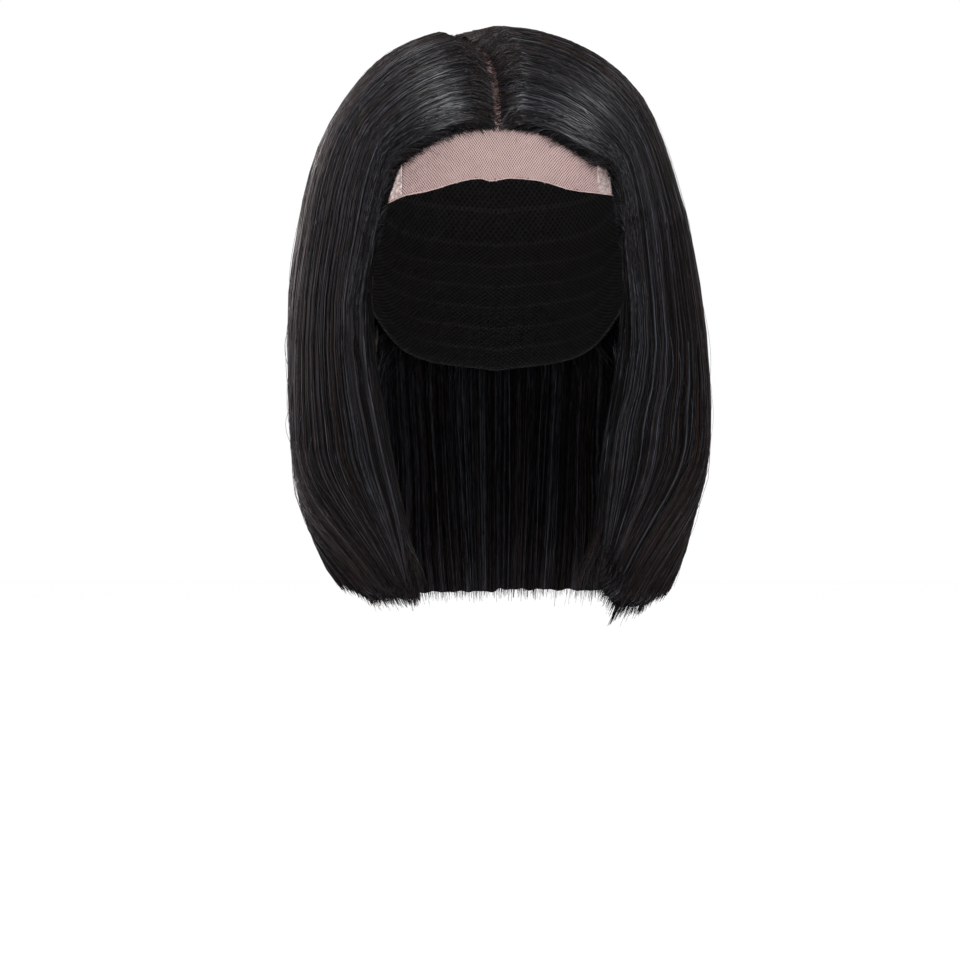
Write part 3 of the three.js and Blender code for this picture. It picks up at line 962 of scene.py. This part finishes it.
def lock_lines(rng, back, lock, share):
    """How far back each strand runs along its length and how proud it is: it leans a little to one side,
    sways with its lock and is drawn together with it towards the tip."""

    def of_lock(values):
        return values[lock][:, None]

    centre = (lock[:, None] + of_lock(rng.uniform(0.2, 0.8, LOCKS))) / LOCKS
    lean = rng.normal(0, LEAN, back.shape)[:, None] * (share - 0.3)
    sway = of_lock(rng.normal(0, SWAY, LOCKS))
    pace = of_lock(rng.uniform(0.5, 1.4, LOCKS))
    phase = of_lock(rng.uniform(0, 1, LOCKS))
    swing = sway * np.sin(2 * np.pi * (pace * share + phase)) * smoothstep(share, 0.1, 0.7)
    drawn = of_lock(rng.uniform(0.1, 0.7, LOCKS)) * smoothstep(share, 0.45, 1.0)
    ridge = of_lock(rng.normal(0, RIDGE, LOCKS)) * smoothstep(share, 0.15, 0.6)
    return between(back[:, None] + lean, centre, drawn) + swing, ridge


def laid_paths(side, row, share, backs, depths, rooted=0.0, proud=0.0, spread=0.0):
    """Paths in the hair. Where their share is over 1 they hang on past its form and turn in."""
    place_of, behind = ROWS[row]
    inside = np.minimum(share, 1)
    beyond = (share - inside) * HAIR_LENGTH
    places = cut_hem(place_of(side, inside, backs) + spread, inside, depths)
    places = set_length(places, np.linalg.norm(places, axis=-1) + beyond / MM)
    proud = proud - TURN_IN * beyond
    return in_hair(places, depths, SIDES[side], front_wall(backs + behind), rooted, proud)


def moved_back(backs, set_back):
    """Lines that are set back at the hairline, and less and less behind it."""
    return backs + set_back * np.exp(SET_BACK_FADE * np.maximum(backs, 0))


def laid_strands(rng, side, row, back, share, depth, rise, width, brown, start=0.0, spread=((0, 0),)):
    """Strands as a batch of tubes: each runs along its shares of the hair's length, at its own depth. rise is
    the share in which it comes up from the net, or from the depth start, and spread moves the root."""
    lock = lock_of(rng, back)
    backs, ridge = lock_lines(rng, back, lock, np.minimum(share, 1))
    uneven = rng.normal(0, LOCK_LENGTHS, LOCKS)[lock][:, None] * share**TRIM_SHARPNESS
    share = trimmed(side, back[:, None] + ROWS[row][1], share) + uneven
    if row == "closure":
        inside = np.minimum(share, 1)
        set_back = HAIRLINE_SET_BACK * (1 - smoothstep(inside, 0.2, 0.4))
        backs = moved_back(backs, set_back + temple_set_back(side, inside, TEMPLE_BREADTH["strands"]))
    rise = rise * rng.uniform(*RISES, back.shape)[:, None]
    from_root = share - share[:, :1]
    start = np.broadcast_to(start, back.shape)[:, None]
    turned = between(1, TIP_DEPTH, smoothstep(share, 0.95, 1.01))
    depths = (depth[:, None] + ridge) * between(start, 1, smoothstep(from_root, 0, rise)) * turned
    rooted = (1 - smoothstep(from_root, 0, 0.6 * rise)) * (start == 0)
    spread = np.array(spread)[:, None] * (1 - smoothstep(share, 0, 0.25))[..., None]
    paths = laid_paths(side, row, share, backs, depths, rooted, spread=spread)
    return paths, strand_widths(rng, *share.shape, width), strand_columns(rng, brown, lock)


def tip_shares(rng, count, spread):
    """Where the tips end: most at the hem, and a few shorter."""
    short = np.where(rng.random(count) < SHORT_TIPS["chance"], rng.uniform(0.0, SHORT_TIPS["by"], count), 0)
    return BLUNT_HEM + rng.normal(0, spread, count) - short


def top_shares(rng, row, root):
    """Shares along strands from the parting to the hem. Their steps are about alike, except at both ends."""
    fine = np.linspace(0, 1, 400)
    closeness = 1 + CLOSER["bend"] * (1 - smoothstep(fine, 0.26, 0.42))
    closeness = closeness + CLOSER["hem"] * smoothstep(fine, 0.56, 0.68)
    closeness = np.cumsum(closeness) - closeness[0]
    steps = np.interp(np.linspace(0, 1, TOP_POINTS[row]), closeness / closeness[-1], fine)[None]
    tip = tip_shares(rng, len(root), HEM_SPREAD["top"])
    uneven = UNEVEN_STEPS * np.gradient(steps, axis=1) * smoothstep(steps, 0.02, 0.07)
    uneven = uneven * (1 - smoothstep(steps, 0.26, 0.34))
    steps = steps + rng.uniform(-1, 1, (len(root), 1)) * uneven
    return steps + root[:, None] * (1 - steps) ** 6 + (tip[:, None] - 1) * steps**TRIM_SHARPNESS


def part_shares(rng, root, points):
    """Shares along strands that start part of the way down."""
    steps = np.linspace(0, 1, points)[None] ** 1.2
    return between(root[:, None], tip_shares(rng, len(root), HEM_SPREAD["part"])[:, None], steps)


def part_strands(rng, side, row, count, brown, roots, points, depths, sunk=False, backs=(0.0, 1.0)):
    """Strands that start part of the way down, on the net or, if sunk, at their own depth."""
    back = evenly_spread(rng, count, *backs)
    share = part_shares(rng, rng.uniform(*roots, count), points)
    depth = rng.uniform(*depths, count)
    start = depth if sunk else 0.0
    return laid_strands(rng, side, row, back, share, depth, RISE["fill"], STRAND_WIDTH, brown, start)


for side in SIDES:
    rng = seeded(21, side)
    count = CLOSURE_STRANDS["top"]
    back = evenly_spread(rng, count, 0.0, 0.998) ** 1.08
    root = 0.003 + np.abs(rng.normal(0, 0.0045, count))
    share = top_shares(rng, "closure", root)
    depth = 1.0 - np.abs(rng.normal(0, TOP_DEPTH, count))
    start = CROWN_START["depth"] * smoothstep(back, CROWN_START["from"], CROWN_START["to"])
    # Painted light: towards the crown line, the outline, more strands are browned as if lit through.
    brown = BROWN["top"] + OUTLINE_PAINTED_LIGHT_BROWN[side] * smoothstep(back, 0.35, 0.85)
    width = STRAND_WIDTH * TOP_WIDTH["closure"]
    batches = [laid_strands(rng, side, "closure", back, share, depth, RISE["top"], width, brown, start)]
    for group, kind in (("tips", TIPS), ("edge", EDGE)):
        batches.append(part_strands(rng, side, "closure", CLOSURE_STRANDS[group], BROWN[group], **kind))
    tube_piece(f"closure_strands_{side}", batches, hair_finish)

# The wefts' strands: hair of the machine-sewn rows behind the closure, which falls from the crown over the
# back and the sides behind the ears to the same blunt hem.
WEFT_STRANDS = {"top": 600, "tips": 560}
WEFT_START = 0.62  # the roots at the crown stay this deep in the hair
WEFT_BESIDE = (-1.3, 5.0)  # how far the roots are spread sideways over the crown, in degrees
WEFT_AHEAD = (-8, 5.5)  # and from front to back
# Its "side" share is painted light: more strands are browned at the side outline, as if lit through.
WEFT_BROWN = {"back": 0.12, "side": 0.28, "tips": 0.15}
for side in SIDES:
    rng = seeded(31, side)
    count = WEFT_STRANDS["top"]
    back = evenly_spread(rng, count)
    share = top_shares(rng, "weft", np.abs(rng.normal(0, 0.006, count)))
    depth = 1.0 - np.abs(rng.normal(0, TOP_DEPTH, count))
    beside = rng.uniform(*WEFT_BESIDE, count)
    ahead = rng.uniform(*WEFT_AHEAD, count) + 2.5 * smoothstep(beside, 1.5, 3.0)
    spread = np.stack([beside, ahead], axis=-1)
    # Painted light: browner strands near the crown line, at the side outline.
    brown = WEFT_BROWN["back"] + WEFT_BROWN["side"] * (1 - smoothstep(back, 0.1, 0.5))
    look = (STRAND_WIDTH * TOP_WIDTH["weft"], brown)
    batches = [laid_strands(rng, side, "weft", back, share, depth, RISE["weft"], *look, WEFT_START, spread)]
    batches.append(part_strands(rng, side, "weft", WEFT_STRANDS["tips"], WEFT_BROWN["tips"], **TIPS))
    tube_piece(f"weft_strands_{side}", batches, hair_finish)

# The inner layer: the hair next to the neck and the cheeks, seen through the face opening and from below.
# It is sewn to the cap's lower rows and hangs straight, thinner than the hair outside.
INNER_STRANDS = {"closure": 300, "weft": 560}
INNER_ROOTS = (0.30, 0.50)
INNER_DEPTH = 0.08
INNER_BROWN = 0.1
for side in SIDES:
    rng = seeded(41, side)
    batches = []
    for row, count in INNER_STRANDS.items():
        back = evenly_spread(rng, count)
        share = part_shares(rng, rng.uniform(*INNER_ROOTS, count), INNER_POINTS)
        depth = np.abs(rng.normal(0.0, INNER_DEPTH, count))
        look = (STRAND_WIDTH, INNER_BROWN)
        batches.append(laid_strands(rng, side, row, back, share, depth, RISE["fill"], *look))
    tube_piece(f"inner_strands_{side}", batches, hair_finish)

# The hairline's hairs: fine hairs knotted along the hairline and the parting. They stand up from the lace,
# lean back and are then swept sideways with the rest, so that the hair thins out into the lace.
HAIRLINE_SHARES = (0.0, 0.27)  # the part of the front edge that is hairline
FINE_POINTS = 5
FINE_WIDTH = 0.00022
AT_TEMPLE = (0.10, 0.15)  # shares of the front edge over which the temple begins
TEMPLE_SWEPT = 0.3  # how far the swept hairs reach ahead there
TEMPLE_HAIRS = {"left": 0.3, "right": 0.8}  # and the short hairs
SWEPT = {
    "count": 460,
    "points": 12,
    "run": (0.26, 0.40),
    "ahead": (0.008, 0.03),  # on average and at most
    "inland": (0.015, 0.15),
    "lean": (0.010, 0.030),
    "depth": (0.93, 1.04),
    "sunk": 0.16,
    "brown": 0.08,
}
SHORT = {
    "count": 430,
    "run": (0.006, 0.05),
    "ahead": (0.014, 0.045),
    "few": 0.025,  # the share that stands further ahead
    "far ahead": (0.05, 0.09),
    "inland": (0.02, 0.06),
    "depth": (0.6, 1.05),
    "brown": 0.1,
}
PARTED = {
    "count": 370,
    "root": 0.002,
    "run": (0.02, 0.06),
    "back": (0.0, 0.93),
    "lean": (0.0, 0.05),
    "depth": (0.7, 1.1),
    "lower": 0.75,  # the share of that depth towards the crown
    "aside": (0, 2.4),  # in widths of the parting's gap
    "brown": 0.7,
}
batches = []


def fine_hairs(kind, paths, width, back):
    """Thin hairs as a batch, with the columns of the locks they lie in."""
    columns = strand_columns(rng, kind["brown"], lock_of(rng, back))
    return paths, strand_widths(rng, *paths.shape[:2], width), columns


def add_knotted(kind, side, share, backs, depths, rooted, locks, width, aside=0.0):
    paths = in_hair(closure_place(side, share, backs), depths, SIDES[side], front_wall(backs), rooted)
    paths[..., 0] -= SIDES[side] * aside
    batches.append(fine_hairs(kind, paths, width, locks[:, 0]))


def spots(limits, count):
    """A random value for each hair, in a column."""
    return rng.uniform(*limits, count)[:, None]


def scattered(spread, count):
    return rng.normal(0, spread, count)[:, None]


def reach_ahead(kind):
    average, most = kind["ahead"]
    return rng.exponential(average, kind["count"]).clip(0, most)


for side in SIDES:
    rng = seeded(51, side)
    count = SWEPT["count"]
    run = spots(SWEPT["run"], count) * np.linspace(0, 1, SWEPT["points"])[None] ** 1.9
    share = spots(HAIRLINE_SHARES, count) + run
    ahead = reach_ahead(SWEPT)[:, None]
    inland = spots(SWEPT["inland"], count)
    lean = spots(SWEPT["lean"], count)
    ahead = ahead * between(1, TEMPLE_SWEPT, smoothstep(share, *AT_TEMPLE))
    backs = inland - (inland + ahead) * np.exp(-run / lean)
    backs = moved_back(backs, temple_set_back(side, share, TEMPLE_BREADTH["swept"]))
    sunk = SWEPT["sunk"] * smoothstep(run / run[:, -1:], 0.5, 1.0)
    depths = spots(SWEPT["depth"], count) * smoothstep(run, 0, 0.022) - sunk
    rooted = 1 - smoothstep(run, 0, 0.014)
    add_knotted(SWEPT, side, share, backs, depths, rooted, share, STRAND_WIDTH)

    along = np.linspace(0, 1, FINE_POINTS)[None]
    count = SHORT["count"]
    share = spots(HAIRLINE_SHARES, count) + spots(SHORT["run"], count) * along**1.3
    ahead = reach_ahead(SHORT)
    few = rng.random(count) < SHORT["few"]
    ahead = np.where(few, rng.uniform(*SHORT["far ahead"], count), ahead)[:, None]
    ahead = ahead * between(1, TEMPLE_HAIRS[side], smoothstep(share, *AT_TEMPLE))
    backs = between(-ahead, spots(SHORT["inland"], count), along**0.9) + temple_set_back(side, share)
    depths = spots(SHORT["depth"], count) * smoothstep(along, 0.1, 0.9)
    rooted = 1 - smoothstep(along, 0.05, 0.7)
    add_knotted(SHORT, side, share, backs, depths, rooted, share, FINE_WIDTH)

    count = PARTED["count"]
    share = np.abs(scattered(PARTED["root"], count)) + spots(PARTED["run"], count) * along
    backs = spots(PARTED["back"], count) + spots(PARTED["lean"], count) * along**0.6
    depths = spots(PARTED["depth"], count) * smoothstep(along, 0, 0.6)
    depths = depths * between(1, PARTED["lower"], smoothstep(backs, 0.45, 0.85))
    rooted = 1 - smoothstep(along, 0, 0.5)
    aside = PARTING_GAP * spots(PARTED["aside"], count) * (1 - along)
    add_knotted(PARTED, side, share, backs, depths, rooted, backs, FINE_WIDTH, aside)
tube_piece("hairline_hairs", batches, hair_finish)

# The stray hairs: single hairs that stand a little off the outline, loose bunches beside the jaw, and wisps
# that fan out past the hem towards the neck, with one pointed lock on the right.
STRAY_POINTS = 9
STRAY_WIDTH = 0.00022
STRAY_DEPTH = 0.99
STRAY = {
    "counts": {"closure": 240, "weft": 160},
    "root": (0.02, 0.85),
    "run": (0.06, 0.25),
    "swing": 0.02,
    "bends": (0.6, 1.6),
    "proud": (1.4, 0.0006),  # shape and scale of its spread, as for the fan and the short tips below
    "top": 0.35,  # how much less proud it is over the crown
    "brown": 0.2,
}
LOOSE = {
    "count": 26,
    "root": (0.40, 0.60),
    "tip": (0.90, 0.99),
    "swing": 0.03,
    "back": (0.55, 0.95),
    "proud": (0.0006, 0.0034),
    "brown": 0.5,
}
WISPS = {
    "count": 80,
    "root": 0.70,
    "tip": (0.95, 1.005),
    "fan": (1.6, 0.06),
    "widest": 0.32,
    "back": (0.0, 0.10),
    "depth": (0.2, 0.95),
    "brown": 0.4,
}
POINTED_LOCK = {
    "count": 44,
    "root": 0.78,
    "tip": 1.042,
    "shorter": (1.2, 0.006),
    "back": 0.835,
    "apart": 0.030,
    "tip apart": 0.0025,
    "depth": (0.35, 0.95),
    "tip depth": 0.5,
    "brown": 0.2,
}
batches = []


def add_strays(kind, row, side, share, backs, depths, proud=0.0):
    paths = laid_paths(side, row, share, backs, depths, proud=proud)
    batches.append(fine_hairs(kind, paths, STRAY_WIDTH, backs[:, 0]))


for side in SIDES:
    rng = seeded(61, side)
    along = np.linspace(0, 1, STRAY_POINTS)[None]
    for row, count in STRAY["counts"].items():
        root = spots(STRAY["root"], count)
        tip = np.clip(root + spots(STRAY["run"], count), 0, 1.0)
        share = between(root, tip, along)
        swing = scattered(STRAY["swing"], count) * np.sin(np.pi * spots(STRAY["bends"], count) * along)
        proud = rng.gamma(*STRAY["proud"], count)[:, None] * np.sin(np.pi * along**0.8)
        proud = proud * between(STRAY["top"], 1, smoothstep(share, 0.3, 0.6))
        backs = spots((0, 1), count) + swing
        add_strays(STRAY, row, side, share, backs, np.full_like(share, STRAY_DEPTH), proud)

    count = LOOSE["count"]
    share = between(spots(LOOSE["root"], count), spots(LOOSE["tip"], count), along)
    swing = scattered(LOOSE["swing"], count) * along
    backs = spots(LOOSE["back"], count) + swing
    proud = spots(LOOSE["proud"], count) * smoothstep(along, 0.1, 0.8)
    add_strays(LOOSE, "closure", side, share, backs, np.full_like(share, STRAY_DEPTH), proud)

    count = WISPS["count"]
    share = between(WISPS["root"], spots(WISPS["tip"], count), along)
    fan = -rng.gamma(*WISPS["fan"], count).clip(0, WISPS["widest"])[:, None]
    fan = fan * smoothstep(along, 0.3, 1.0) ** 1.5
    backs = spots(WISPS["back"], count) + fan
    depths = spots(WISPS["depth"], count) * np.ones_like(share)
    add_strays(WISPS, "closure", side, share, backs, depths)

count = POINTED_LOCK["count"]
tip = POINTED_LOCK["tip"] - rng.gamma(*POINTED_LOCK["shorter"], count)[:, None]
share = between(POINTED_LOCK["root"], tip, along)
apart = scattered(POINTED_LOCK["apart"], count) * (1 - smoothstep(along, 0.1, 1.0))
backs = POINTED_LOCK["back"] + apart + scattered(POINTED_LOCK["tip apart"], count)
depths = spots(POINTED_LOCK["depth"], count) * between(1, POINTED_LOCK["tip depth"], along)
add_strays(POINTED_LOCK, "closure", "right", share, backs, depths)
tube_piece("stray_hairs", batches, hair_finish)

# The studio: a plain pale floor well below the wig, white air all round, a large soft light overhead in
# front and one at the upper right, a faint one low at the right, and one on each side from behind that
# grazes the outline. These two are a little warm, and the left one is stronger.
SCALE_DISTANCE = 1.7  # the camera's distance from the head's axis
CAMERA_X = -0.00875
CAMERA_Z = -0.224
FRAME_WIDTH = 0.4944  # what the picture's width takes in at the head's axis
SENSOR = 36
FLOOR_Z = -0.46
FLOOR_SIZE = 6
FLOOR_ROUGHNESS = 0.9
WHITE = (1, 1, 1, 1)
PALE = (0.985, 0.985, 0.985, 1)
DIM = (0.04, 0.04, 0.04, 1)  # how the floor is mirrored in the hair, as if from a dark studio
AIR = (1.0, 0.03)  # how strong the white air is, and its mirror image in the hair
COOL_WHITE = (0.97, 0.98, 1.0)
WARM_WHITE = (1.0, 0.90, 0.91)
LIGHTS_AIM = 0.12  # how far below the crown the lights point
SOFT_LIGHTS = (  # each one's place, size, power and tint
    (-0.4, -0.8, 1.1, 0.6, 16.5, COOL_WHITE),
    (1.1, -0.65, 0.75, 0.5, 8, COOL_WHITE),
    (1.35, -0.8, 0.05, 0.7, 0.9, COOL_WHITE),
    (-1.15, 0.6, 0.35, 0.8, 21, WARM_WHITE),
    (0.9, 0.95, 0.35, 0.8, 12, WARM_WHITE),
)


def mirrored(tree):
    return add_node(tree, "ShaderNodeLightPath", {}).outputs["Is Glossy Ray"]


floor_sheet = bmesh.new()
bmesh.ops.create_grid(floor_sheet, x_segments=4, y_segments=4, size=FLOOR_SIZE)
bmesh.ops.translate(floor_sheet, verts=floor_sheet.verts, vec=(0, 0, FLOOR_Z))
floor_mesh = mesh_of("floor", floor_sheet)
floor_finish = bpy.data.materials.new("pale_floor")
floor_finish.use_nodes = True
tree = floor_finish.node_tree
floor_tone = blended(mirrored(tree), PALE, DIM)
floor_surface = {"Base Color": floor_tone, "Roughness": FLOOR_ROUGHNESS, "Specular IOR Level": 0}
plug(tree.nodes["Principled BSDF"], floor_surface)
floor_mesh.materials.append(floor_finish)
floor = set_up("floor", floor_mesh)

world = bpy.data.worlds.new("white_air")
world.use_nodes = True
tree = world.node_tree
air_strength = ranged(mirrored(tree), 0, 1, *AIR)
plug(tree.nodes["Background"], {"Color": WHITE, "Strength": air_strength})
bpy.context.scene.world = world

for number, (x, y, z, size, power, tint) in enumerate(SOFT_LIGHTS):
    light = bpy.data.lights.new(f"soft_light_{number}", "AREA")
    light.size = size
    light.energy = power
    light.color = tint
    lamp = set_up(light.name, light)
    lamp.location = (x, y, z)
    aim = cap.location - lamp.location
    aim.z -= LIGHTS_AIM
    lamp.rotation_euler = aim.to_track_quat("-Z", "Y").to_euler()

camera = set_up("camera", bpy.data.cameras.new("camera"))
camera.location = (CAMERA_X, -SCALE_DISTANCE, CAMERA_Z)
camera.rotation_euler = (math.radians(90), 0, 0)
camera.data.sensor_width = SENSOR
camera.data.lens = SENSOR * SCALE_DISTANCE / FRAME_WIDTH
bpy.context.scene.camera = camera
bpy.context.scene.view_settings.view_transform = "Standard"
